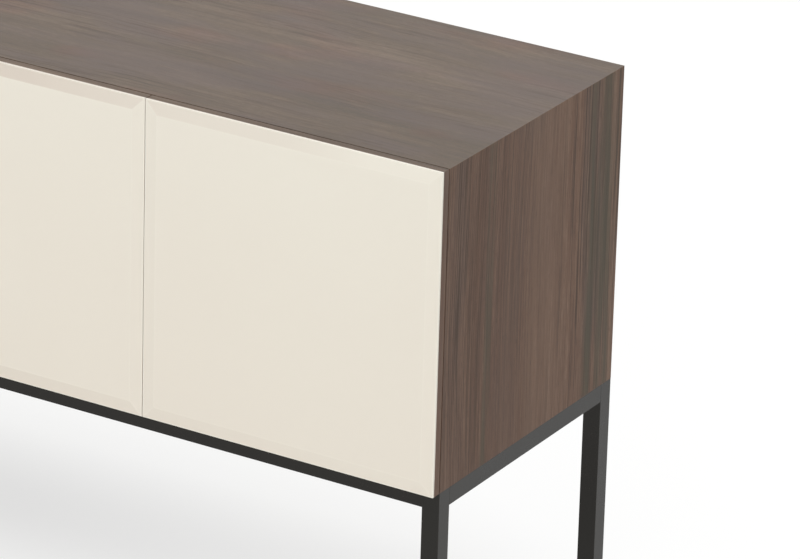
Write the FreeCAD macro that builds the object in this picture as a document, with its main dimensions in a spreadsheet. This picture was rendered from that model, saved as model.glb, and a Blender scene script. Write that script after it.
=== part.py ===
import FreeCAD, Part
import os
import re

import Sketcher
from FreeCAD import Placement, Rotation, Vector

# Four-door sideboard on a square-tube frame.
# X runs along the front, from left to right, Y from the doors to the back, and Z up.
# The origin is on the floor, under the middle of the piece. Sizes are in millimetres.

DIMENSIONS = {
    "overall_width": 1730,
    "overall_depth": 450,
    "overall_height": 740,
    # Carcass
    "body_height": 434,
    "board": 18,
    "divider": 36,
    "back_thickness": 6,
    "back_inset": 3,
    "shelf_setback": 70,
    "shelf_play": 1,
    "shelf_rise": 188,
    "pin_radius": 2.5,
    "pin_play": 0.05,
    "pin_depth": 10,
    "pin_reach": 8,
    "pin_inset": 60,
    # Doors
    "door_gap": 1,
    "carcass_gap": 1.5,
    "core_thickness": 12,
    "panel_edge": 3,
    "bevel_drop": 2,
    "bevel_width": 18,
    # Hinges, measured from the door's hinge edge and from its front face
    "cup_centre": 22,
    "cup_radius": 17.5,
    "cup_play": 0.1,
    "cup_wall": 1,
    "cup_depth": 11,
    "cup_floor": 0.8,
    "flange_length": 52,
    "flange_width": 20,
    "flange_thickness": 1,
    "hinge_inset": 85,
    "arm_near": 22,
    "arm_width": 8,
    "arm_height": 16,
    "arm_nose": 16,
    "arm_end": 62,
    "plate_start": 36,
    "plate_height": 34,
    "screw_pitch": 24,
    "screw_radius": 2,
    "screw_play": 0.2,
    "screw_bite": 12,
    "screw_head": 3.2,
    "screw_head_rise": 1.2,
    # Push latches
    "latch_offset": 45,
    "latch_setback": 1,
    "latch_length": 76,
    "latch_width": 16,
    "latch_height": 14,
    "plunger_radius": 3.5,
    "plunger_play": 0.1,
    "plunger_length": 34,
    "plunger_lead": 1.2,
    "bumper_radius": 4,
    "bumper_thickness": 1.2,
    "bumper_inset": 20,
    # Frame
    "tube": 25,
    "tube_wall": 2,
    "plug_rim": 4,
    "plug_rise": 18,
    "plug_play": 0.1,
    "tab_length": 34,
    "tab_thickness": 3,
    "tab_hole": 3.3,
    "bolt_radius": 3,
    "bolt_bite": 13,
    "bolt_head": 5.5,
    "bolt_head_height": 3.5,
    "tab_inner": 200,
    "tab_outer": 650,
}

# Places worked out from the dimensions
FRONT = "(-overall_depth / 2)"
BACK = "(overall_depth / 2)"
PANEL_THICKNESS = "(panel_edge + bevel_drop)"
DOOR_THICKNESS = f"({PANEL_THICKNESS} + core_thickness)"
CORE_FRONT = f"({FRONT} + {PANEL_THICKNESS})"
CORE_BACK = f"({FRONT} + {DOOR_THICKNESS})"
CARCASS_FRONT = f"({CORE_BACK} + carcass_gap)"
CARCASS_DEPTH = f"({BACK} - {CARCASS_FRONT})"
BODY_BOTTOM = "(overall_height - body_height)"
INNER_BOTTOM = f"({BODY_BOTTOM} + board)"
INNER_TOP = "(overall_height - board)"
INNER_HEIGHT = "(body_height - 2 * board)"
LEFT = "(-overall_width / 2)"
RIGHT = "(overall_width / 2)"
BAY_WIDTH = "((overall_width - divider) / 2 - board)"
DOOR_WIDTH = "((overall_width - 3 * door_gap) / 4)"
RAIL_BOTTOM = f"({BODY_BOTTOM} - tube)"
BACK_PANEL_FRONT = f"({BACK} - back_inset - back_thickness)"
SHELF_FRONT = f"({CARCASS_FRONT} + shelf_setback)"
SHELF_BOTTOM = f"({INNER_BOTTOM} + shelf_rise)"
PIN_HEIGHT = f"({SHELF_BOTTOM} - pin_radius)"
PIN_PLACES = (
    f"({SHELF_FRONT} + pin_inset)",
    f"({BACK_PANEL_FRONT} - pin_inset)",
)

doc = FreeCAD.newDocument("sideboard")
sheet = doc.addObject("Spreadsheet::Sheet", "Dims")
for row, (alias, value) in enumerate(DIMENSIONS.items(), start=1):
    sheet.set(f"A{row}", alias)
    sheet.set(f"B{row}", str(value))
    sheet.setAlias(f"B{row}", alias)
doc.recompute()

WORDS = re.compile(r"[a-z][a-z_]*")
nodes = []


def formula(text):
    """The same formula with each dimension's name pointing at its cell."""
    return WORDS.sub(lambda word: f"Dims.{word.group(0)}", str(text))


def bind(thing, path, text):
    thing.setExpression(path, formula(text))


def place(thing, x="0", y="0", z="0"):
    """Ties a thing's position to formulas and leaves its rotation alone."""
    for axis, text in zip("xyz", (x, y, z)):
        bind(thing, f"Placement.Base.{axis}", text)


def keep(thing, label):
    """Marks a finished sub-part and names it."""
    thing.Label = label
    nodes.append(thing)
    return thing


# Sketched pieces


def new_body(label, x, y, z):
    body = doc.addObject("PartDesign::Body", f"body_{label}")
    place(body, x, y, z)
    return keep(body, label)


def new_sketch(body, name, role, offset="0"):
    sketch = body.newObject("Sketcher::SketchObject", name)
    plane = next(p for p in body.Origin.OriginFeatures if p.Role == role)
    sketch.AttachmentSupport = [(plane, "")]
    sketch.MapMode = "FlatFace"
    bind(sketch, "AttachmentOffset.Base.z", offset)
    return sketch


def tie_point(sketch, geometry, point, across, up):
    """Fixes one sketch point at formulas measured from the sketch's origin."""
    for kind, axis, text in (("DistanceX", -2, across), ("DistanceY", -1, up)):
        if text == "0":
            sketch.addConstraint(Sketcher.Constraint("PointOnObject", geometry, point, axis))
            continue
        number = sketch.addConstraint(Sketcher.Constraint(kind, -1, 1, geometry, point, 1.0))
        bind(sketch, f"Constraints[{number}]", text)


def draw_outline(sketch, corners):
    """A closed outline through corners given as formulas."""
    first = sketch.GeometryCount
    count = len(corners)
    guesses = [Vector(1 + number, 1 + number * number, 0) for number in range(count)]
    for number in range(count):
        sketch.addGeometry(Part.LineSegment(guesses[number], guesses[(number + 1) % count]))
    for number in range(count):
        following = first + (number + 1) % count
        sketch.addConstraint(Sketcher.Constraint("Coincident", first + number, 2, following, 1))
    for number, (across, up) in enumerate(corners):
        tie_point(sketch, first + number, 1, across, up)


def draw_rectangle(sketch, width, height, margin="0"):
    """A rectangle from the sketch's origin, taken in by a margin."""
    right = width if margin == "0" else f"({width} - {margin})"
    top = height if margin == "0" else f"({height} - {margin})"
    draw_outline(sketch, [(margin, margin), (right, margin), (right, top), (margin, top)])


def draw_circle(sketch, across, up, radius):
    number = sketch.addGeometry(Part.Circle(Vector(1, 1, 0), Vector(0, 0, 1), 1))
    tie_point(sketch, number, 3, across, up)
    size = sketch.addConstraint(Sketcher.Constraint("Radius", number, 1.0))
    bind(sketch, f"Constraints[{size}]", radius)


def pad(body, sketch, length, reverse=False):
    feature = body.newObject("PartDesign::Pad", f"pad_{body.Label}")
    feature.Profile = sketch
    feature.Reversed = reverse
    bind(feature, "Length", length)
    return feature


def pocket(body, sketch, length, reverse):
    """Cuts a pocket, and stops if it missed the solid."""
    doc.recompute()
    before = body.Shape.Volume
    feature = body.newObject("PartDesign::Pocket", f"pocket_{sketch.Name}")
    feature.Profile = sketch
    feature.Reversed = reverse
    bind(feature, "Length", length)
    doc.recompute()
    if not body.Shape.Volume < before:
        raise RuntimeError(f"{body.Label}: the pocket {sketch.Name} cut nothing")
    return feature


def front_profile(label, corners, x, z, depth=CARCASS_DEPTH, y=CARCASS_FRONT):
    """A piece whose outline is seen from the front, running back from y."""
    body = new_body(label, x, y, z)
    sketch = new_sketch(body, f"outline_{label}", "XZ_Plane")
    draw_outline(sketch, corners)
    pad(body, sketch, depth, reverse=True)
    return body


def rectangle_corners(width, height):
    return [("0", "0"), (width, "0"), (width, height), ("0", height)]


def square_tube(label, role, length, x, y, z, reverse=False):
    """A hollow square tube, its outline on one of its own planes."""
    body = new_body(label, x, y, z)
    sketch = new_sketch(body, f"section_{label}", role)
    draw_rectangle(sketch, "tube", "tube")
    draw_rectangle(sketch, "tube", "tube", "tube_wall")
    pad(body, sketch, length, reverse)
    return body


def pin_holes(body, base, start, reverse):
    """Shelf-pin holes from a plane at start, towards +X if reverse is set and -X if not.
    base is the height at which the board's own origin lies."""
    side = "right" if reverse else "left"
    sketch = new_sketch(body, f"pin_holes_{body.Label}_{side}", "YZ_Plane", start)
    for depth in PIN_PLACES:
        draw_circle(
            sketch,
            f"({depth} - {CARCASS_FRONT})",
            f"({PIN_HEIGHT} - {base})",
            "(pin_radius + pin_play)",
        )
    pocket(body, sketch, "pin_depth", reverse)


# Plain pieces


def box(x, y, z, length, width, height):
    """A block from its lowest corner, with all six values as formulas."""
    block = doc.addObject("Part::Box", "block")
    bind(block, "Length", length)
    bind(block, "Width", width)
    bind(block, "Height", height)
    place(block, x, y, z)
    return block


TURNS = {
    "x": Rotation(Vector(0, 1, 0), 90),
    "y": Rotation(Vector(1, 0, 0), -90),
    "z": Rotation(),
}


def rod(x, y, z, radius, length, axis):
    """A cylinder that runs from its start along +X, +Y or +Z."""
    cylinder = doc.addObject("Part::Cylinder", "rod")
    cylinder.Placement = Placement(Vector(), TURNS[axis])
    bind(cylinder, "Radius", radius)
    bind(cylinder, "Height", length)
    place(cylinder, x, y, z)
    return cylinder


def joined(*things):
    union = doc.addObject("Part::MultiFuse", "union")
    union.Shapes = list(things)
    return union


def cut(base, tool):
    difference = doc.addObject("Part::Cut", "difference")
    difference.Base = base
    difference.Tool = tool
    return difference


def group(label, things):
    """Several separate solids in one sub-part."""
    compound = doc.addObject("Part::Compound", f"group_{label}")
    compound.Links = list(things)
    return keep(compound, label)


# Carcass


def make_carcass():
    inner_right = "(overall_width - board)"
    front_profile(
        "top_panel",
        [("board", "0"), (inner_right, "0"), ("overall_width", "board"), ("0", "board")],
        LEFT,
        INNER_TOP,
    )
    front_profile(
        "bottom_panel",
        [("0", "0"), ("overall_width", "0"), (inner_right, "board"), ("board", "board")],
        LEFT,
        BODY_BOTTOM,
    )
    inner_top = "(body_height - board)"
    left = front_profile(
        "left_side_panel",
        [("0", "0"), ("board", "board"), ("board", inner_top), ("0", "body_height")],
        LEFT,
        BODY_BOTTOM,
    )
    right = front_profile(
        "right_side_panel",
        [("0", "board"), ("board", "0"), ("board", "body_height"), ("0", inner_top)],
        f"({RIGHT} - board)",
        BODY_BOTTOM,
    )
    divider_depth = f"({BACK_PANEL_FRONT} - {CARCASS_FRONT})"
    divider = front_profile(
        "centre_divider",
        rectangle_corners("divider", INNER_HEIGHT),
        "(-divider / 2)",
        INNER_BOTTOM,
        divider_depth,
    )
    pin_holes(left, BODY_BOTTOM, "(board - pin_depth)", reverse=True)
    pin_holes(right, BODY_BOTTOM, "pin_depth", reverse=False)
    pin_holes(divider, INNER_BOTTOM, "(divider - pin_depth)", reverse=True)
    pin_holes(divider, INNER_BOTTOM, "pin_depth", reverse=False)


def make_bay(side, bay_left):
    """The back, shelf and shelf pins of one compartment."""
    inner_width = f"({BAY_WIDTH} + divider / 2)"
    back_left = bay_left if side == "left" else "0"
    front_profile(
        f"back_panel_{side}",
        rectangle_corners(inner_width, INNER_HEIGHT),
        back_left,
        INNER_BOTTOM,
        "back_thickness",
        BACK_PANEL_FRONT,
    )
    front_profile(
        f"shelf_{side}",
        rectangle_corners(f"({BAY_WIDTH} - 2 * shelf_play)", "board"),
        f"({bay_left} + shelf_play)",
        SHELF_BOTTOM,
        f"({BACK_PANEL_FRONT} - {SHELF_FRONT} - shelf_play)",
        SHELF_FRONT,
    )
    pin_length = "(pin_depth + pin_reach)"
    starts = (f"({bay_left} - pin_depth)", f"({bay_left} + {BAY_WIDTH} - pin_reach)")
    pins = [
        rod(start, depth, PIN_HEIGHT, "pin_radius", pin_length, "x")
        for start in starts
        for depth in PIN_PLACES
    ]
    group(f"shelf_pins_{side}", pins)


# Frame


def make_frame():
    inner_width = "(overall_width - 2 * tube)"
    inner_depth = f"({CARCASS_DEPTH} - 2 * tube)"
    rail_left = f"({LEFT} + tube)"
    right_row = f"({RIGHT} - tube)"
    rear_row = f"({BACK} - tube)"
    inner_front = f"({CARCASS_FRONT} + tube)"
    square_tube("frame_front_rail", "YZ_Plane", inner_width, rail_left, CARCASS_FRONT, RAIL_BOTTOM)
    square_tube("frame_rear_rail", "YZ_Plane", inner_width, rail_left, rear_row, RAIL_BOTTOM)
    for label, x in (
        ("frame_left_rail", LEFT),
        ("frame_cross_rail", "(-tube / 2)"),
        ("frame_right_rail", right_row),
    ):
        square_tube(label, "XZ_Plane", inner_depth, x, inner_front, RAIL_BOTTOM, reverse=True)
    plugs = []
    for row_name, y in (("front", CARCASS_FRONT), ("rear", rear_row)):
        for side, x in (("left", LEFT), ("right", right_row)):
            square_tube(
                f"{row_name}_{side}_leg",
                "XY_Plane",
                f"({BODY_BOTTOM} - plug_rim)",
                x,
                y,
                "plug_rim",
            )
            plugs.append(leg_plug(x, y))
    group("leg_end_plugs", plugs)


def leg_plug(x, y):
    """A plastic end plug: a square rim under the tube and a stem inside it."""
    stem_inset = "(tube_wall + plug_play)"
    stem_size = f"(tube - 2 * {stem_inset})"
    rim = box(x, y, "0", "tube", "tube", "plug_rim")
    stem = box(
        f"({x} + {stem_inset})",
        f"({y} + {stem_inset})",
        "(plug_rim / 2)",
        stem_size,
        stem_size,
        "plug_rise",
    )
    return joined(rim, stem)


def make_frame_tabs():
    """Welded tabs inside the front and rear rails, and the bolts that hold the body."""
    tabs = []
    bolts = []
    tab_rows = (f"({CARCASS_FRONT} + tube)", f"({BACK} - 2 * tube)")
    tab_places = ("(-tab_outer)", "(-tab_inner)", "tab_inner", "tab_outer")
    for row in tab_rows:
        for x in tab_places:
            tab_bottom = f"({BODY_BOTTOM} - tab_thickness)"
            bolt_y = f"({row} + tube / 2)"
            plate = box(f"({x} - tab_length / 2)", row, tab_bottom, "tab_length", "tube",
                        "tab_thickness")
            hole = rod(x, bolt_y, tab_bottom, "tab_hole", "tab_thickness", "z")
            tabs.append(cut(plate, hole))
            head = rod(x, bolt_y, f"({tab_bottom} - bolt_head_height)", "bolt_head",
                       "bolt_head_height", "z")
            shank_length = "(bolt_head_height + tab_thickness + bolt_bite)"
            shank = rod(x, bolt_y, f"({tab_bottom} - bolt_head_height)", "bolt_radius",
                        shank_length, "z")
            bolts.append(joined(head, shank))
    group("frame_tabs", tabs)
    group("frame_bolts", bolts)


# Doors


def door_left_edge(number):
    """Where door 1, 2, 3 or 4 starts, counted from the left."""
    return f"({LEFT} + {number - 1} * ({DOOR_WIDTH} + door_gap))"


def hinge_edge(number, inward):
    """The door's hinge edge, from which inward sizes are measured."""
    start = door_left_edge(number)
    return start if inward > 0 else f"({start} + {DOOR_WIDTH})"


def inward_start(edge, inward, near, far):
    """The lower X of a span that lies from near to far inward of the hinge edge."""
    return f"({edge} + {near})" if inward > 0 else f"({edge} - {far})"


HINGE_HEIGHTS = (
    f"({BODY_BOTTOM} + hinge_inset)",
    "(overall_height - hinge_inset)",
)


def make_door(number, inward):
    """A veneered core, a bevelled facing and two hinge cups."""
    left = door_left_edge(number)
    name = f"door_{number}"
    core = front_profile(
        f"{name}_core",
        rectangle_corners(DOOR_WIDTH, "body_height"),
        left,
        BODY_BOTTOM,
        "core_thickness",
        CORE_FRONT,
    )
    bores = new_sketch(core, f"cup_bores_{number}", "XZ_Plane", "(-core_thickness)")
    across = "cup_centre" if inward > 0 else f"({DOOR_WIDTH} - cup_centre)"
    for height in HINGE_HEIGHTS:
        draw_circle(bores, across, f"({height} - {BODY_BOTTOM})", "(cup_radius + cup_play)")
    pocket(core, bores, "cup_depth", reverse=True)

    bevel = doc.addObject("Part::Wedge", "bevel")
    for path, text in (
        ("Xmin", "bevel_width"),
        ("Xmax", f"({DOOR_WIDTH} - bevel_width)"),
        ("Zmin", "bevel_width"),
        ("Zmax", "(body_height - bevel_width)"),
        ("X2min", "0"),
        ("X2max", DOOR_WIDTH),
        ("Z2min", "0"),
        ("Z2max", "body_height"),
        ("Ymin", "0"),
        ("Ymax", "bevel_drop"),
    ):
        bind(bevel, path, text)
    place(bevel, left, FRONT, BODY_BOTTOM)
    slab = box(left, f"({FRONT} + bevel_drop)", BODY_BOTTOM, DOOR_WIDTH, "panel_edge",
               "body_height")
    keep(joined(bevel, slab), f"{name}_facing")

    edge = hinge_edge(number, inward)
    cups = [hinge_cup(edge, inward, height) for height in HINGE_HEIGHTS]
    group(f"{name}_hinge_cups", cups)


def hinge_cup(edge, inward, height):
    """A drawn cup let into the door's back, with a flange on the surface."""
    centre = inward_start(edge, inward, "cup_centre", "cup_centre")
    bottom = f"({CORE_BACK} - cup_depth)"
    shell = rod(centre, bottom, height, "cup_radius", "(cup_depth + flange_thickness)", "y")
    flange = box(
        f"({centre} - flange_width / 2)",
        CORE_BACK,
        f"({height} - flange_length / 2)",
        "flange_width",
        "flange_thickness",
        "flange_length",
    )
    hollow = rod(
        centre,
        f"({bottom} + cup_floor)",
        height,
        "(cup_radius - cup_wall)",
        "(cup_depth + flange_thickness)",
        "y",
    )
    return cut(joined(shell, flange), hollow)


def hinge_rod(edge, inward, near, far, height, radius):
    """A cylinder across a hinge plate's middle, from near to far inward of the hinge edge."""
    start = inward_start(edge, inward, near, far)
    middle = f"({FRONT} + (plate_start + arm_end) / 2)"
    return rod(start, middle, height, radius, f"({far} - {near})", "x")


def make_hinge_arms(number, inward, overlay):
    """The arms that reach into the cups, and the plates that carry them.
    overlay is how far the door laps the board that the plates are screwed to."""
    edge = hinge_edge(number, inward)
    arms = []
    plates = []
    screws = []
    arm_far = "(arm_near + arm_width)"
    for height in HINGE_HEIGHTS:
        bar = box(
            inward_start(edge, inward, "arm_near", arm_far),
            f"({FRONT} + arm_nose)",
            f"({height} - arm_height / 2)",
            "arm_width",
            "(arm_end - arm_nose)",
            "arm_height",
        )
        nose_centre = "(arm_near + arm_width / 2)"
        nose = rod(
            inward_start(edge, inward, nose_centre, nose_centre),
            f"({FRONT} + arm_nose)",
            f"({height} - arm_height / 2)",
            "(arm_width / 2)",
            "arm_height",
            "z",
        )
        arms.append(joined(bar, nose))
        plate = box(
            inward_start(edge, inward, overlay, "arm_near"),
            f"({FRONT} + plate_start)",
            f"({height} - plate_height / 2)",
            f"(arm_near - {overlay})",
            "(arm_end - plate_start)",
            "plate_height",
        )
        screw_places = [f"({height} {side} screw_pitch / 2)" for side in "+-"]
        holes = [
            hinge_rod(edge, inward, overlay, "arm_near", screw_z, "(screw_radius + screw_play)")
            for screw_z in screw_places
        ]
        plates.append(cut(plate, joined(*holes)))
        head_end = "(arm_near + screw_head_rise)"
        for screw_z in screw_places:
            bite_start = f"({overlay} - screw_bite)"
            shank = hinge_rod(edge, inward, bite_start, head_end, screw_z, "screw_radius")
            head = hinge_rod(edge, inward, "arm_near", head_end, screw_z, "screw_head")
            screws.append(joined(shank, head))
    group(f"door_{number}_hinge_arms", arms)
    return plates, screws


def make_push_latch(number, inward):
    """A latch under the top panel, near the door's free edge, and its plunger."""
    edge = hinge_edge(number, inward)
    from_edge = f"({DOOR_WIDTH} - latch_offset)"
    centre = inward_start(edge, inward, from_edge, from_edge)
    latch_front = f"({CARCASS_FRONT} + latch_setback)"
    height = f"({INNER_TOP} - latch_height / 2)"
    bore_radius = "(plunger_radius + plunger_play)"
    bore_depth = "(plunger_length + latch_setback)"
    casing = box(
        f"({centre} - latch_width / 2)",
        latch_front,
        f"({INNER_TOP} - latch_height)",
        "latch_width",
        "latch_length",
        "latch_height",
    )
    bore = rod(centre, latch_front, height, bore_radius, bore_depth, "y")
    keep(cut(casing, bore), f"push_latch_{number}_casing")
    plunger_front = f"({CARCASS_FRONT} - plunger_lead)"
    keep(
        rod(centre, plunger_front, height, "plunger_radius", "plunger_length", "y"),
        f"push_latch_{number}_plunger",
    )


def door_bumpers(number, inward):
    """Two soft discs on the carcass edge, behind the door's free corners."""
    edge = hinge_edge(number, inward)
    from_edge = f"({DOOR_WIDTH} - bumper_inset)"
    centre = inward_start(edge, inward, from_edge, from_edge)
    heights = (f"({BODY_BOTTOM} + board / 2)", "(overall_height - board / 2)")
    start = f"({CARCASS_FRONT} - bumper_thickness)"
    return [rod(centre, start, z, "bumper_radius", "bumper_thickness", "y") for z in heights]


SIDE_OVERLAY = "board"
DIVIDER_OVERLAY = "(divider / 2 - door_gap / 2)"
# Each door's number, the way from its hinge edge into its bay, and its overlay
DOORS = (
    (1, 1, SIDE_OVERLAY),
    (2, -1, DIVIDER_OVERLAY),
    (3, 1, DIVIDER_OVERLAY),
    (4, -1, SIDE_OVERLAY),
)


def make_doors():
    all_screws = []
    bumpers = []
    for number, inward, overlay in DOORS:
        make_door(number, inward)
        plates, screws = make_hinge_arms(number, inward, overlay)
        group(f"door_{number}_hinge_plates", plates)
        make_push_latch(number, inward)
        all_screws += screws
        bumpers += door_bumpers(number, inward)
    group("hinge_screws", all_screws)
    group("door_bumpers", bumpers)


def check_document():
    doc.recompute()
    for thing in doc.Objects:
        faults = {"Invalid", "Error"} & set(thing.State)
        if faults:
            raise RuntimeError(f"{thing.Name} ({thing.Label}) is {sorted(faults)}")
    for node in nodes:
        if node.Shape.isNull() or not node.Shape.isValid():
            raise RuntimeError(f"{node.Label} has no valid shape")


make_carcass()
make_bay("left", f"({LEFT} + board)")
make_bay("right", "(divider / 2)")
make_frame()
make_frame_tabs()
make_doors()
check_document()

os.makedirs("parts", exist_ok=True)
for node in nodes:
    node.Shape.exportStep(f"parts/{node.Label}.step")
print(f"{len(nodes)} sub-parts written")
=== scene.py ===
"""Looks of the four-door sideboard: veneer, lacquer, powder coat, hinge details, light and camera.

X runs along the front, from left to right, Y from the doors to the back, and Z up, in metres.
"""

import math
from collections import namedtuple

import bmesh
import bpy
from mathutils import Euler, Matrix, Vector


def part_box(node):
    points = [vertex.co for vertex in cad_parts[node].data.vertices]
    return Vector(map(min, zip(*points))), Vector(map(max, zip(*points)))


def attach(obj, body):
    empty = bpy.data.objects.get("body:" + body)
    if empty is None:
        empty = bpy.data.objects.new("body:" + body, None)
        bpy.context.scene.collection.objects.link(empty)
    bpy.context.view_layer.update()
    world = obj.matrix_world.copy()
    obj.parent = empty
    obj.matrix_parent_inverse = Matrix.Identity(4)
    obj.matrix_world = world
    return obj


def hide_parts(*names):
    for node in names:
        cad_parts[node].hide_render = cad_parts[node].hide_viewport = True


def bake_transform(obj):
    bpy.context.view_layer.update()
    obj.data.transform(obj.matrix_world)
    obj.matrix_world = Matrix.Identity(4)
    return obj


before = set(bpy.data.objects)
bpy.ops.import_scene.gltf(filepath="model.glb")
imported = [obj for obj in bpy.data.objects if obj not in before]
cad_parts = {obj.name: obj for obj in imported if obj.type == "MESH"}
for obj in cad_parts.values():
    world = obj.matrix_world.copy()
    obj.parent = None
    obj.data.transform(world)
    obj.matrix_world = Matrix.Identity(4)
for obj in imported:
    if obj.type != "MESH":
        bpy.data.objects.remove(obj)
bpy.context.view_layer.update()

MM = 0.001
HALF_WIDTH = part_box("top_panel")[1].x
FACE_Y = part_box("door_1_facing")[0].y
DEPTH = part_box("top_panel")[1].y - FACE_Y
HALF_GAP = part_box("door_3_facing")[0].x

# How far the normal leans on a door's sloping border
BORDER_LEAN = 0.11

# The photograph's width and focal length, in pixels
PHOTO_WIDTH = 800
FOCAL_PIXELS = 5842.9

# The camera that fits the sideboard's straight edges: metres, degrees and a sensor in mm
VIEW_POINT = (4.1786, -5.8872, 3.3643)
VIEW_AZIMUTH = 30.749
VIEW_ELEVATION = 22.853
VIEW_ROLL = -1.643
VIEW_REACH = 200.0
SENSOR_WIDTH = 36.0

# Light and floor. Each lamp's level is the share of full light on a face that looks at it.
AMBIENT_LIGHT = 0.17
OVERHEAD_LIGHT = 0.79
FRONT_LIGHT = 0.35
BACK_LIGHT = 0.06
FLOOR_HALF_SIZE = 30.0
FLOOR_COLOUR = (0.98, 0.985, 0.955, 1.0)
WHITE = (1.0, 1.0, 1.0, 1.0)

# Each door's number, its hinge edge and the way from that edge into its bay
DOORS = ((1, -HALF_WIDTH, 1), (2, -HALF_GAP, -1), (3, HALF_GAP, 1), (4, HALF_WIDTH, -1))

# The two heights at which every door has a hinge
ARM_HALF_HEIGHT = 8 * MM
arms_low, arms_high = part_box("door_1_hinge_arms")
HINGE_HEIGHTS = (arms_low.z + ARM_HALF_HEIGHT, arms_high.z - ARM_HALF_HEIGHT)

# Hinge fittings, measured inward from each door's hinge edge and back from its face
CUP_IN = 22 * MM
FLANGE_BACK = 18 * MM
CUP_SCREW_OFFSET = 21.8 * MM
ARM_IN = 30 * MM
ARM_SCREWS_BACK = (30 * MM, 50 * MM)
PLATE_IN = 22 * MM
PLATE_SCREW_BACK = 49 * MM
PLATE_SCREW_OFFSET = 12 * MM
LINK_START = (27 * MM, 18 * MM)
LINK_END = (17 * MM, 11 * MM)
LINK_HALF_THICKNESS = 0.7 * MM
LINK_STEPS = 28

# Each arm's ridge and clip: start and end behind the face, half the height, and how far
# they stand out of the arm
ARM_BLOCKS = (
    (15 * MM, 61 * MM, 5.5 * MM, 0.9 * MM),
    (58 * MM, 66 * MM, 4.0 * MM, 0.1 * MM),
)
ARM_BLOCK_DEPTH = 1.2 * MM
ARM_BLOCK_ROUNDING = 0.5 * MM
RIDGE_PROUD = ARM_BLOCKS[0][3]

# A hinge's three links: lower and upper edge about its height, and the shift out of line
LINK_STRAPS = (
    (-7 * MM, -4 * MM, 0.0),
    (4 * MM, 7 * MM, 0.0),
    (-3 * MM, 3 * MM, 2.6 * MM),
)

# The latch's collar as (radius, height) pairs, and its screws behind the casing's front
COLLAR_PROFILE = (
    (3.8 * MM, -2.0 * MM),
    (5.6 * MM, -2.0 * MM),
    (5.6 * MM, 0.5 * MM),
    (5.2 * MM, 0.8 * MM),
    (4.2 * MM, 0.8 * MM),
    (3.8 * MM, 0.5 * MM),
)
COLLAR_POINTS = 32
LATCH_SCREWS_BACK = (14 * MM, 62 * MM)

# The frame's bolts and their washers, and the bumpers
INNER_BOLT_X = 0.2
WASHER_PROFILE = ((6.6 * MM, -0.1 * MM), (6.6 * MM, 0.5 * MM), (6.2 * MM, 0.9 * MM))
BUMPER_RADIUS = 4 * MM

# Widths of the soft edges, by the ends of the nodes' names
SOFT_EDGES = (
    (("_facing", "_core"), 0.15 * MM),
    (("_leg", "_rail"), 0.4 * MM),
    (("shelf_left", "shelf_right"), 0.5 * MM),
    (("_casing", "_hinge_plates"), 0.3 * MM),
)
WELD_DISTANCE = 0.01 * MM
SOFT_ANGLE = math.radians(60)
SMOOTH_ANGLE = math.radians(35)
RING_POINTS = 24


def linear(red, green, blue):
    """A colour as it is seen, from 0 to 255, as the linear values that shaders take."""
    values = []
    for part in (red, green, blue):
        share = part / 255
        values.append(share / 12.92 if share <= 0.04045 else ((share + 0.055) / 1.055) ** 2.4)
    return (*values, 1.0)


# Shader trees


def add_node(tree, kind, inputs=None, **settings):
    """A node with its settings, and each named or numbered input set or linked."""
    node = tree.nodes.new(f"ShaderNode{kind}")
    for name, value in settings.items():
        setattr(node, name, value)
    fill_inputs(tree, node, inputs or {})
    return node


def fill_inputs(tree, node, inputs):
    """Links each input to a socket, or sets it to a plain value."""
    for name, value in inputs.items():
        if isinstance(value, bpy.types.NodeSocket):
            tree.links.new(value, node.inputs[name])
        else:
            node.inputs[name].default_value = value


def calculate(tree, operation, first, second=0.0, third=0.0):
    """The result of one operation on numbers or sockets."""
    node = add_node(tree, "Math", {0: first, 1: second, 2: third}, operation=operation)
    return node.outputs[0]


def add_group(tree, group, inputs):
    """A node group with each named input set or linked, as its outputs."""
    node = tree.nodes.new("ShaderNodeGroup")
    node.node_tree = group
    fill_inputs(tree, node, inputs)
    return node.outputs


def ramp(tree, factor, stops):
    """A colour ramp from (place, colour) pairs."""
    node = add_node(tree, "ValToRGB", {0: factor})
    elements = node.color_ramp.elements
    while len(elements) < len(stops):
        elements.new(0.5)
    for element, (place, colour) in zip(elements, stops):
        element.position = place
        element.color = colour
    return node.outputs["Color"]


def grey_stops(*pairs):
    """Stops of a ramp that gives a plain number, from (place, number) pairs."""
    return [(place, (level, level, level, 1.0)) for place, level in pairs]


def blend_colours(tree, factor, first, second):
    """The first colour at a factor of 0, and the second at 1."""
    inputs = {"Factor": factor, 6: first, 7: second}
    return add_node(tree, "Mix", inputs, data_type="RGBA").outputs[2]


def noise(tree, vector, scales, detail, roughness=0.5, offset=0.0):
    """Noise with features to the metre as its scales: one number, or one for each axis."""
    if not isinstance(scales, tuple):
        scales = (scales, scales, scales)
    inputs = {"Vector": vector, "Scale": scales, "Location": (offset, offset, offset)}
    stretched = add_node(tree, "Mapping", inputs).outputs[0]
    inputs = {"Vector": stretched, "Scale": 1.0, "Detail": detail, "Roughness": roughness}
    return add_node(tree, "TexNoise", inputs).outputs["Fac"]


def edge_mask(tree, radius, gain):
    """Near 1 within a radius of the piece's own edges, and 0 on its open faces. A high
    gain picks out shallow creases too."""
    rounded = add_node(tree, "Bevel", {"Radius": radius}, samples=4).outputs[0]
    normal = add_node(tree, "NewGeometry").outputs["Normal"]
    both = add_node(tree, "VectorMath", {0: rounded, 1: normal}, operation="DOT_PRODUCT")
    mask = add_node(
        tree,
        "Math",
        {0: both.outputs["Value"], 1: -gain, 2: gain},
        operation="MULTIPLY_ADD",
        use_clamp=True,
    )
    return mask.outputs[0]


def tone_edges(tree, colour, edge_colour, radius, share, gain=6.0):
    """The colour with a share of another one along the piece's own edges."""
    mask = calculate(tree, "MULTIPLY", edge_mask(tree, radius, gain), share)
    return blend_colours(tree, mask, colour, edge_colour)


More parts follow.
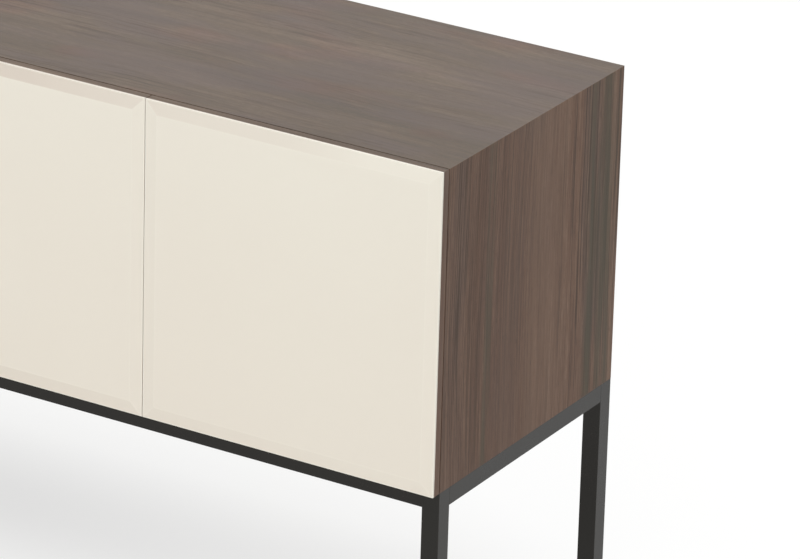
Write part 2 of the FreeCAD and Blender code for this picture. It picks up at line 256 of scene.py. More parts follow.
def new_material(name, preview):
    """A material with its tree and its shader."""
    material = bpy.data.materials.new(name)
    material.use_nodes = True
    material.diffuse_color = preview
    return material, material.node_tree, material.node_tree.nodes["Principled BSDF"]


def place_on_piece(tree):
    """The piece's own coordinates, which move with it."""
    return add_node(tree, "TexCoord").outputs["Object"]


def vary_roughness(tree, shader, pattern, least, spread):
    """Roughness that follows a pattern from 0 to 1."""
    rough = calculate(tree, "MULTIPLY_ADD", pattern, spread, least)
    tree.links.new(rough, shader.inputs["Roughness"])


def add_bump(tree, shader, height, distance, strength):
    """Fine relief on the shader's surface, from a height of 0 to 1."""
    inputs = {"Height": height, "Distance": distance, "Strength": strength}
    tree.links.new(add_node(tree, "Bump", inputs).outputs[0], shader.inputs["Normal"])


# Veneer

VENEER_DARK = linear(58, 40, 27)
VENEER_MIDDLE = linear(95, 73, 57)
VENEER_LIGHT = linear(133, 110, 93)
VENEER_OLIVE = linear(80, 76, 61)
VENEER_PLUM = linear(97, 75, 68)
VENEER_RUST = linear(116, 79, 61)
VENEER_GREEN = linear(66, 63, 48)
VENEER_VIOLET = linear(88, 74, 71)
PORE = linear(44, 31, 21)

# The sum of the veneer's layers of noise that gives its middle colour
MIDDLE_TONE = 0.81

# How far the grain sways to either side, how dark fine lines and pores get at a contrast
# of 1, how deep pores are beside fibres, and how far streaks shift the roughness
GRAIN_SWAY = 18 * MM
HAIRLINE_SHARE = 0.27
PORE_SHARE = 0.16
PORE_SINK = 0.8
GLOSS_SHIFT = 0.08


def make_veneer_group():
    """Colour, roughness and height of smoked veneer, from x along the grain and y across it."""
    tree = bpy.data.node_groups.new("veneer", "ShaderNodeTree")
    tree.interface.new_socket("Vector", in_out="INPUT", socket_type="NodeSocketVector")
    for name in ("Contrast", "Warmth", "Tint", "Haze"):
        tree.interface.new_socket(name, in_out="INPUT", socket_type="NodeSocketFloat")
    for name, kind in (("Color", "Color"), ("Roughness", "Float"), ("Height", "Float")):
        tree.interface.new_socket(name, in_out="OUTPUT", socket_type=f"NodeSocket{kind}")
    start = tree.nodes.new("NodeGroupInput").outputs
    sway = noise(tree, start["Vector"], (1.3, 4.0, 4.0), detail=1.0)
    drift = calculate(tree, "MULTIPLY_ADD", sway, 2 * GRAIN_SWAY, -GRAIN_SWAY)
    shift = add_node(tree, "CombineXYZ", {"Y": drift}).outputs[0]
    warped = add_node(tree, "VectorMath", {0: start["Vector"], 1: shift}).outputs[0]

    zones = noise(tree, warped, (0.5, 7.0, 7.0), detail=1.0, offset=11.0)
    bands = noise(tree, warped, (1.8, 40.0, 40.0), detail=3.0, roughness=0.6)
    streaks = noise(tree, warped, (5.5, 260.0, 260.0), detail=4.0, roughness=0.7)
    fibres = noise(tree, warped, (30.0, 700.0, 700.0), detail=3.0, roughness=0.7)
    dashes = noise(tree, warped, (70.0, 800.0, 800.0), detail=1.0)

    tone = 0.0
    for layer, weight in ((bands, 0.34), (streaks, 0.45), (fibres, 0.45), (zones, 0.34)):
        tone = calculate(tree, "MULTIPLY_ADD", layer, weight, tone)
    centred = calculate(tree, "SUBTRACT", tone, MIDDLE_TONE)
    spread = calculate(tree, "MULTIPLY_ADD", centred, start["Contrast"], 0.5)
    colour = ramp(
        tree, spread, [(0.0, VENEER_DARK), (0.5, VENEER_MIDDLE), (1.0, VENEER_LIGHT)]
    )

    patches = noise(tree, warped, (2.2, 12.0, 12.0), detail=2.0, offset=7.3)
    patches = calculate(tree, "ADD", patches, start["Warmth"])
    tint = ramp(
        tree,
        patches,
        [(0.36, VENEER_OLIVE), (0.47, VENEER_MIDDLE), (0.55, VENEER_PLUM), (0.66, VENEER_RUST)],
    )
    colour = blend_colours(tree, start["Tint"], colour, tint)
    haze = noise(tree, warped, (2.4, 17.0, 17.0), detail=2.0, offset=17.0)
    haze = ramp(tree, haze, grey_stops((0.42, 0.0), (0.60, 1.0)))
    haze = calculate(tree, "MULTIPLY", haze, start["Haze"])
    colour = blend_colours(tree, haze, colour, VENEER_VIOLET)
    broad_lines = noise(tree, warped, (2.2, 200.0, 200.0), detail=3.0, offset=3.1)
    fine_lines = noise(tree, warped, (3.5, 440.0, 440.0), detail=2.0, offset=5.7)
    hairlines = calculate(
        tree,
        "MAXIMUM",
        ramp(tree, broad_lines, grey_stops((0.585, 0.0), (0.61, 1.0))),
        ramp(tree, fine_lines, grey_stops((0.57, 0.0), (0.60, 0.9))),
    )
    clusters = noise(tree, warped, (0.8, 9.0, 9.0), detail=1.0, offset=2.2)
    clusters = ramp(tree, clusters, grey_stops((0.40, 0.25), (0.62, 1.0)))
    line_share = calculate(tree, "MULTIPLY", start["Contrast"], HAIRLINE_SHARE)
    line_share = calculate(tree, "MULTIPLY", clusters, line_share)
    line_share = calculate(tree, "MULTIPLY", hairlines, line_share)
    colour = blend_colours(tree, line_share, colour, VENEER_DARK)
    pores = ramp(tree, dashes, grey_stops((0.60, 0.0), (0.72, 1.0)))
    pore_share = calculate(tree, "MULTIPLY", start["Contrast"], PORE_SHARE)
    pore_share = calculate(tree, "MULTIPLY", pores, pore_share)
    colour = blend_colours(tree, pore_share, colour, PORE)

    gloss_shift = calculate(tree, "MULTIPLY_ADD", streaks, 2 * GLOSS_SHIFT, -GLOSS_SHIFT)
    grain_height = calculate(tree, "MULTIPLY_ADD", pores, -PORE_SINK, fibres)
    end = tree.nodes.new("NodeGroupOutput").inputs
    tree.links.new(colour, end["Color"])
    tree.links.new(gloss_shift, end["Roughness"])
    tree.links.new(grain_height, end["Height"])
    return tree


veneer_group = make_veneer_group()


def grain_vector(tree, order, origin=(0, 0, 0), run=1.0):
    """Places on the piece, reordered so that x runs along the grain. A run above 1
    makes the streaks that much shorter."""
    moved = add_node(
        tree, "VectorMath", {0: place_on_piece(tree), 1: origin}, operation="SUBTRACT"
    ).outputs[0]
    parts = add_node(tree, "SeparateXYZ", {0: moved}).outputs
    along, across, through = (parts[axis] for axis in order)
    inputs = {"X": calculate(tree, "MULTIPLY", along, run), "Y": across, "Z": through}
    return add_node(tree, "CombineXYZ", inputs).outputs[0]


def add_leaf_figure(tree, colour):
    """What the leaf shows across the board, by the share of the way from front to back:
    a darker front, a lighter middle, and two broken greenish bands of heartwood."""
    across = add_node(tree, "SeparateXYZ", {0: place_on_piece(tree)}).outputs["Y"]
    share = calculate(tree, "MULTIPLY_ADD", across, 1 / DEPTH, 0.5)
    darker = ramp(
        tree, share, grey_stops((0.0, 0.18), (0.20, 0.14), (0.34, 0.03), (0.36, 0.0))
    )
    colour = blend_colours(tree, darker, colour, VENEER_DARK)
    lighter = ramp(
        tree,
        share,
        grey_stops(
            (0.34, 0.0), (0.37, 0.12), (0.47, 0.05), (0.52, 0.20), (0.67, 0.13), (0.72, 0.0)
        ),
    )
    colour = blend_colours(tree, lighter, colour, VENEER_LIGHT)
    bands = ramp(
        tree,
        share,
        grey_stops(
            (0.250, 0.0), (0.270, 0.7), (0.288, 0.6), (0.300, 0.0),
            (0.80, 0.0), (0.85, 0.8), (0.875, 0.4), (0.90, 0.6), (0.96, 0.7), (0.99, 0.1),
        ),
    )
    where = grain_vector(tree, "ZYX")
    broken = ramp(
        tree,
        noise(tree, where, (3.4, 60.0, 60.0), detail=3.0),
        grey_stops((0.38, 0.05), (0.62, 1.0)),
    )
    bands = calculate(tree, "MULTIPLY", bands, broken)
    return blend_colours(tree, bands, colour, VENEER_GREEN)


def on_banding(tree):
    """1 on the faces that look up or down, and 0 on the others."""
    normal = add_node(tree, "TexCoord").outputs["Normal"]
    upward = add_node(tree, "SeparateXYZ", {0: normal}).outputs["Z"]
    return calculate(tree, "GREATER_THAN", calculate(tree, "ABSOLUTE", upward), 0.7)


def make_veneer(name, order, *, contrast, warmth, tint, haze=0.1, roughness=0.42,
                origin=(0, 0, 0), run=1.0, edge_order=None, edge_warmth=0.0,
                leaf_figure=False):
    """Veneer whose grain runs along the first axis in order. With edge_order, the faces
    that look up or down carry edge banding, with its grain along the first axis there."""
    material, tree, shader = new_material(name, VENEER_MIDDLE)
    vector = grain_vector(tree, order, origin, run)
    if edge_order:
        banding = on_banding(tree)
        inputs = {"Factor": banding, 4: vector, 5: grain_vector(tree, edge_order, origin, run)}
        vector = add_node(tree, "Mix", inputs, data_type="VECTOR").outputs[1]
        warmth = calculate(tree, "MULTIPLY_ADD", banding, edge_warmth - warmth, warmth)
    inputs = {
        "Vector": vector,
        "Contrast": contrast,
        "Warmth": warmth,
        "Tint": tint,
        "Haze": haze,
    }
    veneer = add_group(tree, veneer_group, inputs)
    colour = veneer["Color"]
    if leaf_figure:
        colour = add_leaf_figure(tree, colour)
    colour = tone_edges(tree, colour, VENEER_LIGHT, radius=0.8 * MM, share=0.25)
    tree.links.new(colour, shader.inputs["Base Color"])
    rough = calculate(tree, "ADD", veneer["Roughness"], roughness)
    tree.links.new(rough, shader.inputs["Roughness"])
    shader.inputs["Specular IOR Level"].default_value = 0.22
    add_bump(tree, shader, veneer["Height"], distance=0.12 * MM, strength=0.5)
    return material


# Painted, plated and moulded surfaces

# Painted shade: the lacquer's tone runs from darker low on the doors to lighter high up
LACQUER_LOW = linear(227, 219, 207)
LACQUER_HIGH = linear(231, 225, 213)
TONE_AT_FLOOR = -0.55
TONE_PER_METRE = 1.6
CLOUD_SHARE = 0.7

# Painted shade and a painted highlight on the doors' sloping border
BORDER_PAINTED_SHADE = linear(216, 205, 193)
BORDER_PAINTED_HIGHLIGHT = linear(241, 236, 224)
# Painted highlight along the lacquer's creases
CREASE_PAINTED_HIGHLIGHT = linear(241, 237, 226)
# Painted highlight along the lacquer's edges
LACQUER_PAINTED_EDGE_HIGHLIGHT = linear(247, 243, 234)
COAT_DARK = linear(6, 6, 5)
COAT_LIGHT = linear(11, 11, 10)
COAT_EDGE_TONE = linear(50, 49, 47)
COAT_SHEEN = (1.0, 0.95, 0.88, 1.0)
STEEL_DARK = linear(176, 177, 178)
STEEL_LIGHT = linear(204, 203, 199)


def slope_masks(tree):
    """How much a face belongs to the sloping border, where shade and a highlight are painted: all
    sides of it, the upper one most and the upright ones least, and then the upper side alone."""
    normal = add_node(tree, "TexCoord").outputs["Normal"]
    slopes = add_node(tree, "SeparateXYZ", {0: normal}).outputs
    lower_share, upright_share = 0.4, 0.12
    upper = calculate(tree, "MULTIPLY", slopes["Z"], 1 / BORDER_LEAN)
    upper = calculate(tree, "MAXIMUM", calculate(tree, "MINIMUM", upper, 1.0), 0.0)
    lower = calculate(tree, "MULTIPLY", slopes["Z"], -lower_share / BORDER_LEAN)
    upright = calculate(tree, "ABSOLUTE", slopes["X"])
    upright = calculate(tree, "MULTIPLY", upright, upright_share / BORDER_LEAN)
    strongest = calculate(tree, "MAXIMUM", calculate(tree, "MAXIMUM", upper, lower), upright)
    return strongest, upper


def painted_border_light_and_shade(tree, across, where):
    """Painted shade on the border's lacquer, darker and warmer towards the middle of the
    sideboard's front, and a painted highlight, lighter towards its ends. The stops are metres from
    the middle."""
    reach = calculate(tree, "ABSOLUTE", across)
    # Painted shade, darker towards the middle
    painted_shade = ramp(
        tree,
        reach,
        grey_stops((0.25, 1.0), (0.38, 0.70), (0.50, 0.42), (0.63, 0.34), (0.76, 0.0)),
    )
    uneven = noise(tree, where, 5.0, detail=1.0)
    uneven = calculate(tree, "MULTIPLY_ADD", uneven, 0.4, 0.8)
    painted_shade = calculate(tree, "MULTIPLY", painted_shade, uneven)
    # Painted highlight towards the ends
    light = ramp(tree, reach, grey_stops((0.68, 0.0), (0.80, 0.18)))
    return painted_shade, light


def make_lacquer():
    """Satin cream lacquer with a faint orange peel. It is painted a little lighter higher up and
    darker lower down, as shade, with painted highlights on its creases and on its edges, and
    painted shade and a painted highlight on its sloping border."""
    material, tree, shader = new_material("cream_lacquer", linear(230, 224, 210))
    where = place_on_piece(tree)
    parts = add_node(tree, "SeparateXYZ", {0: where}).outputs
    cloud = noise(tree, where, 2.5, detail=3.0)
    # Painted shade, darker lower down the doors
    height = calculate(tree, "MULTIPLY_ADD", parts["Z"], TONE_PER_METRE, TONE_AT_FLOOR)
    tone = calculate(tree, "MULTIPLY_ADD", cloud, CLOUD_SHARE, height)
    colour = ramp(tree, tone, [(0.3, LACQUER_LOW), (1.0, LACQUER_HIGH)])
    # Painted shade on the sloping border, and a painted highlight on its upper side
    any_slope, upper_slope = slope_masks(tree)
    painted_shade, light = painted_border_light_and_shade(tree, parts["X"], where)
    painted_shade = calculate(tree, "MULTIPLY", any_slope, painted_shade)
    light = calculate(tree, "MULTIPLY", upper_slope, light)
    colour = blend_colours(tree, painted_shade, colour, BORDER_PAINTED_SHADE)
    colour = blend_colours(tree, light, colour, BORDER_PAINTED_HIGHLIGHT)
    # Painted highlight on the creases
    colour = tone_edges(tree, colour, CREASE_PAINTED_HIGHLIGHT, radius=3 * MM, share=0.25, gain=600.0)
    # Painted highlight along the edges
    colour = tone_edges(tree, colour, LACQUER_PAINTED_EDGE_HIGHLIGHT, radius=1.4 * MM, share=1.0)
    tree.links.new(colour, shader.inputs["Base Color"])
    patches = noise(tree, where, 14.0, detail=3.0)
    vary_roughness(tree, shader, patches, least=0.36, spread=0.10)
    shader.inputs["Specular IOR Level"].default_value = 0.4
    peel = noise(tree, where, 420.0, detail=2.0)
    add_bump(tree, shader, peel, distance=0.03 * MM, strength=0.35)
    return material


def make_powder_coat():
    """Fine matt powder coat, a little lighter along its edges."""
    material, tree, shader = new_material("black_powder_coat", linear(44, 44, 43))
    where = place_on_piece(tree)
    grain = noise(tree, where, 1900.0, detail=2.0, roughness=0.6)
    cloud = noise(tree, where, 9.0, detail=3.0)
    mixed = calculate(tree, "MULTIPLY_ADD", cloud, 0.6, calculate(tree, "MULTIPLY", grain, 0.4))
    colour = ramp(tree, mixed, [(0.3, COAT_DARK), (0.7, COAT_LIGHT)])
    colour = tone_edges(tree, colour, COAT_EDGE_TONE, radius=1.6 * MM, share=0.5)
    tree.links.new(colour, shader.inputs["Base Color"])
    shader.inputs["Specular IOR Level"].default_value = 0.36
    shader.inputs["Specular Tint"].default_value = COAT_SHEEN
    vary_roughness(tree, shader, cloud, least=0.22, spread=0.14)
    add_bump(tree, shader, grain, distance=0.08 * MM, strength=0.5)
    return material


def make_plated_steel():
    """Nickel-plated pressed steel with fine drawing lines."""
    material, tree, shader = new_material("plated_steel", linear(190, 190, 188))
    where = place_on_piece(tree)
    drawn = noise(tree, where, (60.0, 60.0, 2400.0), detail=3.0, roughness=0.6)
    cloud = noise(tree, where, 120.0, detail=2.0)
    colour = ramp(tree, cloud, [(0.3, STEEL_DARK), (0.7, STEEL_LIGHT)])
    tree.links.new(colour, shader.inputs["Base Color"])
    shader.inputs["Metallic"].default_value = 1.0
    vary_roughness(tree, shader, drawn, least=0.20, spread=0.22)
    add_bump(tree, shader, drawn, distance=0.03 * MM, strength=0.5)
    return material


def make_plastic(name, dark, light, least_roughness):
    """Moulded plastic with a fine spark texture."""
    material, tree, shader = new_material(name, light)
    where = place_on_piece(tree)
    spark = noise(tree, where, 1600.0, detail=2.0)
    cloud = noise(tree, where, 60.0, detail=2.0)
    tree.links.new(ramp(tree, cloud, [(0.3, dark), (0.7, light)]), shader.inputs["Base Color"])
    vary_roughness(tree, shader, spark, least=least_roughness, spread=0.12)
    add_bump(tree, shader, spark, distance=0.06 * MM, strength=0.4)
    return material


veneer_along = make_veneer(
    "veneer_along",
    "XYZ",
    origin=(0, 3.1, 0),
    run=2.6,
    contrast=2.35,
    warmth=-0.19,
    tint=0.38,
    haze=0.44,
    roughness=0.34,
)
veneer_upright = make_veneer(
    "veneer_upright",
    "ZYX",
    origin=(0, 2.45, 0.3),
    contrast=2.9,
    warmth=0.20,
    tint=0.28,
    roughness=0.5,
    leaf_figure=True,
)
veneer_door = make_veneer(
    "veneer_door",
    "ZXY",
    edge_order="XYZ",
    contrast=1.8,
    warmth=0.20,
    edge_warmth=-0.2,
    tint=0.30,
)
lacquer = make_lacquer()
powder_coat = make_powder_coat()
plated_steel = make_plated_steel()
grey_plastic = make_plastic("grey_plastic", linear(128, 128, 127), linear(150, 150, 148), 0.42)
black_plastic = make_plastic("black_plastic", linear(28, 28, 28), linear(40, 40, 40), 0.45)
clear_bumper = make_plastic("soft_bumper", linear(196, 195, 188), linear(214, 213, 207), 0.25)

SLOT_MATERIALS = {
    "wood_veneer": veneer_along,
    "cream_lacquer": lacquer,
    "black_metal": powder_coat,
    "back_board": veneer_along,
    "zinc_steel": plated_steel,
    "grey_plastic": grey_plastic,
    "black_plastic": black_plastic,
    "soft_bumper": clear_bumper,
}
UPRIGHT_NODES = ("left_side_panel", "right_side_panel", "centre_divider")


def dress_node(name, node):
    """The node's slot material, or the veneer whose grain runs as on that board."""
    for slot in node.material_slots:
        slot.material = SLOT_MATERIALS[slot.material.name.split(".")[0]]
        if name in UPRIGHT_NODES:
            slot.material = veneer_upright
        elif name.endswith("_core"):
            slot.material = veneer_door


def soften_edges(node, width):
    """Breaks a node's sharp edges with a narrow rounded bevel."""
    weld = node.modifiers.new("weld", "WELD")
    weld.merge_threshold = WELD_DISTANCE
    bevel = node.modifiers.new("soft_edges", "BEVEL")
    bevel.width = width
    bevel.segments = 2
    bevel.limit_method = "ANGLE"
    bevel.angle_limit = SOFT_ANGLE
    bevel.harden_normals = True


for name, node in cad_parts.items():
    dress_node(name, node)
    for endings, width in SOFT_EDGES:
        if name.endswith(endings):
            soften_edges(node, width)


# Small fittings


def facing(point, direction):
    """A frame at a point whose Z looks along a direction."""
    turn = Vector(direction).to_track_quat("Z", "Y").to_matrix().to_4x4()
    return Matrix.Translation(point) @ turn


def ring(mesh, where, radius, height, count=RING_POINTS):
    """A ring of points about a frame's Z, at a height along it."""
    turns = [2 * math.pi * number / count for number in range(count)]
    places = [(radius * math.cos(turn), radius * math.sin(turn), height) for turn in turns]
    return [mesh.verts.new(where @ Vector(place)) for place in places]


def loop_edges(mesh, points):
    """The edges of a closed row of points."""
    pairs = zip(points, points[1:] + points[:1])
    return [mesh.edges.get(pair) or mesh.edges.new(pair) for pair in pairs]


def skin(mesh, first, second):
    """Faces between two closed rows with as many points each."""
    count = len(first)
    for number in range(count):
        following = (number + 1) % count
        mesh.faces.new((first[number], first[following], second[following], second[number]))


def turned(mesh, where, profile):
    """A turned form through (radius, height) pairs, closed at both ends."""
    rings = [ring(mesh, where, *pair) for pair in profile]
    for lower, upper in zip(rings, rings[1:]):
        skin(mesh, lower, upper)
    mesh.faces.new(rings[0])
    mesh.faces.new(rings[-1])


def cross_outline(reach, half_width):
    """The corners of a cross recess."""
    a, b = reach, half_width
    return [(a, -b), (a, b), (b, b), (b, a), (-b, a), (-b, b),
            (-a, b), (-a, -b), (-b, -b), (-b, -a), (b, -a), (b, -b)]


def hexagon_outline(radius):
    """The corners of a hexagonal socket."""
    turns = [math.pi * number / 3 for number in range(6)]
    return [(radius * math.cos(turn), radius * math.sin(turn)) for turn in turns]


Fastener = namedtuple("Fastener", "radius rise recess shank_radius shank_length")
CUP_SCREW = Fastener(
    radius=3.2 * MM,
    rise=1.1 * MM,
    recess=cross_outline(1.9 * MM, 0.45 * MM),
    shank_radius=1.5 * MM,
    shank_length=8 * MM,
)
ARM_SCREW = Fastener(
    radius=3.1 * MM,
    rise=1.0 * MM,
    recess=cross_outline(1.8 * MM, 0.45 * MM),
    shank_radius=1.6 * MM,
    shank_length=4 * MM,
)
PLATE_SCREW = Fastener(
    radius=3.2 * MM,
    rise=1.2 * MM,
    recess=cross_outline(1.8 * MM, 0.45 * MM),
    shank_radius=2 * MM,
    shank_length=16 * MM,
)
LATCH_SCREW = Fastener(
    radius=2.7 * MM,
    rise=0.9 * MM,
    recess=cross_outline(1.5 * MM, 0.4 * MM),
    shank_radius=1.2 * MM,
    shank_length=6 * MM,
)
FRAME_BOLT = Fastener(
    radius=5.5 * MM,
    rise=3.5 * MM,
    recess=hexagon_outline(2.9 * MM),
    shank_radius=3 * MM,
    shank_length=15 * MM,
)


def screw(mesh, where, kind):
    """A screw head on a surface, with a recess cut into it and its shank behind."""
    radius, rise = kind.radius, kind.rise
    profile = [
        (kind.shank_radius, -kind.shank_length),
        (kind.shank_radius, 0.0),
        (radius, 0.0),
        (radius, 0.45 * rise),
        (0.94 * radius, 0.78 * rise),
        (0.80 * radius, rise),
    ]
    rings = [ring(mesh, where, *pair) for pair in profile]
    for lower, upper in zip(rings, rings[1:]):
        skin(mesh, lower, upper)
    mesh.faces.new(rings[0])
    mouth = [mesh.verts.new(where @ Vector((x, y, rise))) for x, y in kind.recess]
    floor = [(0.7 * x, 0.7 * y, 0.25 * rise) for x, y in kind.recess]
    floor = [mesh.verts.new(where @ Vector(place)) for place in floor]
    edges = loop_edges(mesh, rings[-1]) + loop_edges(mesh, mouth)
    bmesh.ops.triangle_fill(mesh, edges=edges, use_beauty=True)
    skin(mesh, mouth, floor)
    mesh.faces.new(floor)


def rounded_block(mesh, low, high, radius):
    """A block between two corners with its edges rounded."""
    low, high = (Vector(map(pick, low, high)) for pick in (min, max))
    made = bmesh.ops.create_cube(mesh, size=1.0)["verts"]
    middle, size = (low + high) / 2, high - low
    for point in made:
        point.co = middle + Vector(a * b for a, b in zip(point.co, size))
    edges = list(dict.fromkeys(edge for point in made for edge in point.link_edges))
    bmesh.ops.bevel(mesh, geom=edges, offset=radius, segments=3, affect="EDGES", profile=0.5)


def finish_piece(name, mesh, material):
    """A new object from a mesh in the making, smooth where its faces meet gently."""
    bmesh.ops.recalc_face_normals(mesh, faces=mesh.faces)
    data = bpy.data.meshes.new(name)
    mesh.to_mesh(data)
    mesh.free()
    data.shade_smooth()
    data.set_sharp_from_angle(angle=SMOOTH_ANGLE)
    data.materials.append(material)
    piece = bpy.data.objects.new(name, data)
    bpy.context.scene.collection.objects.link(piece)
    return piece


def hinge_place(edge, inward, distance_in, distance_back, height):
    """A point by its distances from the door's hinge edge and from its face."""
    return Vector((edge + inward * distance_in, FACE_Y + distance_back, height))


def make_cup_screws(number, edge, inward):
    """The two screws of each cup's flange."""
    mesh = bmesh.new()
    for height in HINGE_HEIGHTS:
        for side in (-1, 1):
            level = height + side * CUP_SCREW_OFFSET
            place = hinge_place(edge, inward, CUP_IN, FLANGE_BACK, level)
            screw(mesh, facing(place, (0, 1, 0)), CUP_SCREW)
    piece = finish_piece(f"door_{number}_cup_screws", mesh, plated_steel)
    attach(piece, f"door_{number}")


def make_arm_details(number, edge, inward):
    """The pressed ridge, the two adjusting screws and the clip lever of each arm."""
    mesh = bmesh.new()
    inner = ARM_IN - ARM_BLOCK_DEPTH
    for height in HINGE_HEIGHTS:
        for start, end, half_height, proud in ARM_BLOCKS:
            near = hinge_place(edge, inward, inner, start, height - half_height)
            far = hinge_place(edge, inward, ARM_IN + proud, end, height + half_height)
            rounded_block(mesh, near, far, ARM_BLOCK_ROUNDING)
        for back in ARM_SCREWS_BACK:
            place = hinge_place(edge, inward, ARM_IN + RIDGE_PROUD, back, height)
            screw(mesh, facing(place, (inward, 0, 0)), ARM_SCREW)
    piece = finish_piece(f"door_{number}_arm_details", mesh, plated_steel)
    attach(piece, "cabinet")


def link_strap(mesh, edge, inward, height, low, high, shift):
    """One link as a thin strap in even steps, from its arm pin to its cup pin."""
    start, end = Vector(LINK_START), Vector(LINK_END)
    along = (end - start).normalized()
    across = Vector((-along.y, along.x))
    rows = []
    for step in range(LINK_STEPS + 1):
        middle = start.lerp(end, step / LINK_STEPS) + across * shift
        row = []
        for side, level in ((-1, low), (1, low), (1, high), (-1, high)):
            place = middle + across * side * LINK_HALF_THICKNESS
            point = hinge_place(edge, inward, place.x, place.y, height + level)
            row.append(mesh.verts.new(point))
        rows.append(row)
    for first, second in zip(rows, rows[1:]):
        skin(mesh, first, second)
    mesh.faces.new(rows[0])
    mesh.faces.new(rows[-1])


def make_hinge_links(number, edge, inward):
    """The links between arm and cup."""
    mesh = bmesh.new()
    for height in HINGE_HEIGHTS:
        for low, high, shift in LINK_STRAPS:
            link_strap(mesh, edge, inward, height, low, high, shift)
    piece = finish_piece(f"door_{number}_hinge_links", mesh, plated_steel)
    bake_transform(piece)


def make_hinge_screws():
    """Recessed screws in place of the plain ones that hold the mounting plates."""
    mesh = bmesh.new()
    for _, edge, inward in DOORS:
        for height in HINGE_HEIGHTS:
            for side in (-1, 1):
                level = height + side * PLATE_SCREW_OFFSET
                place = hinge_place(edge, inward, PLATE_IN, PLATE_SCREW_BACK, level)
                screw(mesh, facing(place, (inward, 0, 0)), PLATE_SCREW)
    piece = finish_piece("hinge_screws_recessed", mesh, plated_steel)
    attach(piece, "cabinet")
    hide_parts("hinge_screws")


def make_frame_bolts():
    """Socket-head bolts with washers in place of the plain ones, seen from below."""
    mesh = bmesh.new()
    low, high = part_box("frame_bolts")
    radius = FRAME_BOLT.radius
    tab_bottom = low.z + FRAME_BOLT.rise
    for x in (low.x + radius, -INNER_BOLT_X, INNER_BOLT_X, high.x - radius):
        for y in (low.y + radius, high.y - radius):
            where = facing((x, y, tab_bottom), (0, 0, -1))
            screw(mesh, where, FRAME_BOLT)
            turned(mesh, where, WASHER_PROFILE)
    piece = finish_piece("frame_bolts_socketed", mesh, plated_steel)
    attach(piece, "cabinet")
    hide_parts("frame_bolts")


def make_bumper_domes():
    """Soft domed discs in place of the plain ones, on the carcass edge."""
    mesh = bmesh.new()
    low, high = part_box("door_bumpers")
    radius, rise = BUMPER_RADIUS, high.y - low.y
    shares = ((1.0, 0.0), (1.0, 0.35), (0.88, 0.7), (0.62, 0.93), (0.3, 1.0))
    dome = [(out * radius, up * rise) for out, up in shares]
    outer, inner = high.x - radius, inner_bumper_place(high.x - radius)
    for x in (outer, -outer, inner, -inner):
        for z in (low.z + radius, high.z - radius):
            turned(mesh, facing((x, high.y, z), (0, -1, 0)), dome)
    piece = finish_piece("door_bumpers_domed", mesh, clear_bumper)
    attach(piece, "cabinet")
    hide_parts("door_bumpers")


def inner_bumper_place(outer):
    """The bumpers of the middle doors lie as far inside the gap as the others outside."""
    gap_middle = (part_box("door_4_core")[0].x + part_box("door_3_core")[1].x) / 2
    return 2 * gap_middle - outer


def make_latch_collars():
    """A collar round each plunger's mouth, and the casing's two screws below."""
    for number, _, _ in DOORS:
        low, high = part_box(f"push_latch_{number}_casing")
        mouth = Vector(((low.x + high.x) / 2, low.y, (low.z + high.z) / 2))
        mesh = bmesh.new()
        where = facing(mouth, (0, -1, 0))
        rings = [ring(mesh, where, *pair, COLLAR_POINTS) for pair in COLLAR_PROFILE]
        for first, second in zip(rings, rings[1:] + rings[:1]):
            skin(mesh, first, second)
        collar = finish_piece(f"push_latch_{number}_collar", mesh, grey_plastic)
        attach(collar, "cabinet")
        mesh = bmesh.new()
        for back in LATCH_SCREWS_BACK:
            where = facing((mouth.x, low.y + back, low.z), (0, 0, -1))
            screw(mesh, where, LATCH_SCREW)
        screws = finish_piece(f"push_latch_{number}_screws", mesh, plated_steel)
        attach(screws, "cabinet")


for number, edge, inward in DOORS:
    make_cup_screws(number, edge, inward)
    make_arm_details(number, edge, inward)
    make_hinge_links(number, edge, inward)
make_hinge_screws()
make_frame_bolts()
make_bumper_domes()
make_latch_collars()


# Stage, light and camera


def make_floor():
    """A wide white floor. What the camera sees of it is part light of its own, which
    keeps the shadow pale."""
    size = FLOOR_HALF_SIZE
    mesh = bpy.data.meshes.new("floor")
    corners = [(-size, -size, 0), (size, -size, 0), (size, size, 0), (-size, size, 0)]
    mesh.from_pydata(corners, [], [(0, 1, 2, 3)])
    floor = bpy.data.objects.new("floor", mesh)
    bpy.context.scene.collection.objects.link(floor)
    material = bpy.data.materials.new("floor_white")
    material.use_nodes = True
    tree = material.node_tree
    tree.nodes.clear()
    diffuse = add_node(tree, "BsdfDiffuse", {"Color": FLOOR_COLOUR}).outputs[0]
    glow = add_node(tree, "Emission", {"Color": WHITE, "Strength": 1.0}).outputs[0]
    share = calculate(tree, "MULTIPLY", seen_directly(tree), floor_glow(tree))
    both = add_node(tree, "MixShader", {0: share, 1: diffuse, 2: glow}).outputs[0]
    output = tree.nodes.new("ShaderNodeOutputMaterial")
    tree.links.new(both, output.inputs["Surface"])
    mesh.materials.append(material)


def floor_glow(tree):
    """The floor's own share of light, least under the sideboard and more further out. It
    grows sooner in front and behind, where distance counts twice, than past the ends."""
    oval = add_node(
        tree, "VectorMath", {0: place_on_piece(tree), 1: (1.0, 2.0, 0.0)}, operation="MULTIPLY"
    ).outputs[0]
    reach = add_node(tree, "VectorMath", {0: oval}, operation="LENGTH").outputs["Value"]
    return ramp(
        tree,
        reach,
        grey_stops((0.10, 0.668), (0.45, 0.730), (0.75, 0.785), (0.90, 0.850), (1.0, 0.90)),
    )


def seen_directly(tree):
    """1 for rays from the camera, and for those that it sees in gloss or through glass."""
    path = add_node(tree, "LightPath").outputs
    seen = calculate(tree, "MAXIMUM", path["Is Camera Ray"], path["Is Glossy Ray"])
    return calculate(tree, "MAXIMUM", seen, path["Is Transmission Ray"])


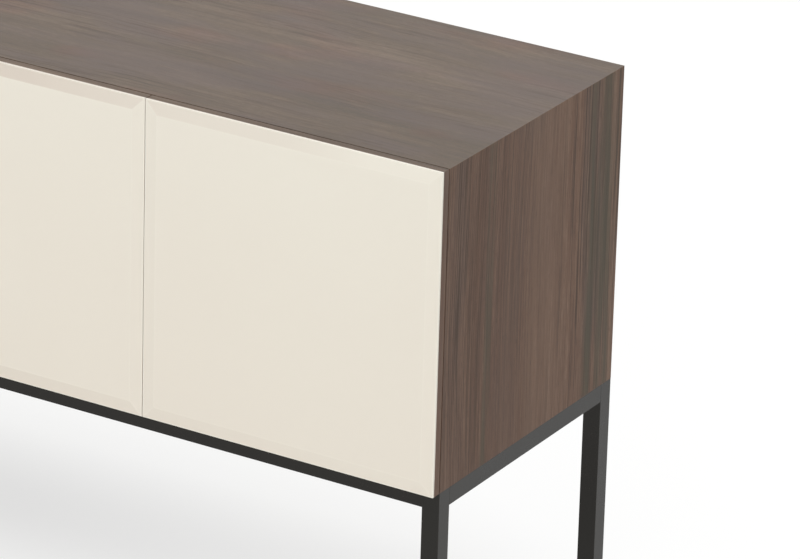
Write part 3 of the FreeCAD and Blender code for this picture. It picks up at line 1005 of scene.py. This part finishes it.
def make_world():
    """Even ambient light, and a white backdrop where the camera sees past the floor."""
    world = bpy.data.worlds.new("studio")
    bpy.context.scene.world = world
    world.use_nodes = True
    tree = world.node_tree
    tree.nodes.clear()
    inputs = {"Color": WHITE, "Strength": AMBIENT_LIGHT}
    ambient = add_node(tree, "Background", inputs).outputs[0]
    backdrop = add_node(tree, "Background", {"Color": WHITE, "Strength": 1.0}).outputs[0]
    inputs = {0: seen_directly(tree), 1: ambient, 2: backdrop}
    both = add_node(tree, "MixShader", inputs).outputs[0]
    output = tree.nodes.new("ShaderNodeOutputWorld")
    tree.links.new(both, output.inputs["Surface"])


def make_soft_light(name, level, azimuth, elevation, spread):
    """A distant soft lamp that gives a surface facing it that share of full light.
    Azimuth 0 stands in front of the doors and 90 to the right, as for the camera."""
    lamp = bpy.data.lights.new(name, "SUN")
    lamp.energy = math.pi * level
    lamp.angle = math.radians(spread)
    holder = bpy.data.objects.new(name, lamp)
    bpy.context.scene.collection.objects.link(holder)
    tilt = math.radians(90 - elevation)
    holder.rotation_euler = Euler((tilt, 0, math.radians(azimuth)))


def make_camera():
    """The photograph's own view."""
    azimuth, elevation, roll = (
        math.radians(angle) for angle in (VIEW_AZIMUTH, VIEW_ELEVATION, VIEW_ROLL)
    )
    forward = Vector((
        -math.sin(azimuth) * math.cos(elevation),
        math.cos(azimuth) * math.cos(elevation),
        -math.sin(elevation),
    ))
    level = Vector((math.cos(azimuth), math.sin(azimuth), 0))
    down = forward.cross(level)
    right = level * math.cos(roll) + down * math.sin(roll)
    up = level * math.sin(roll) - down * math.cos(roll)
    data = bpy.data.cameras.new("camera")
    data.sensor_width = SENSOR_WIDTH
    data.lens = FOCAL_PIXELS * SENSOR_WIDTH / PHOTO_WIDTH
    data.clip_end = VIEW_REACH
    camera = bpy.data.objects.new("camera", data)
    bpy.context.scene.collection.objects.link(camera)
    axes = Matrix((right, up, -forward)).transposed().to_4x4()
    camera.matrix_world = Matrix.Translation(VIEW_POINT) @ axes
    bpy.context.scene.camera = camera


make_floor()
make_world()
make_soft_light("overhead", OVERHEAD_LIGHT, azimuth=0, elevation=88, spread=70)
make_soft_light("front_fill", FRONT_LIGHT, azimuth=18, elevation=18, spread=60)
make_soft_light("back_light", BACK_LIGHT, azimuth=213, elevation=50, spread=50)
make_camera()
bpy.context.scene.view_settings.view_transform = "Standard"
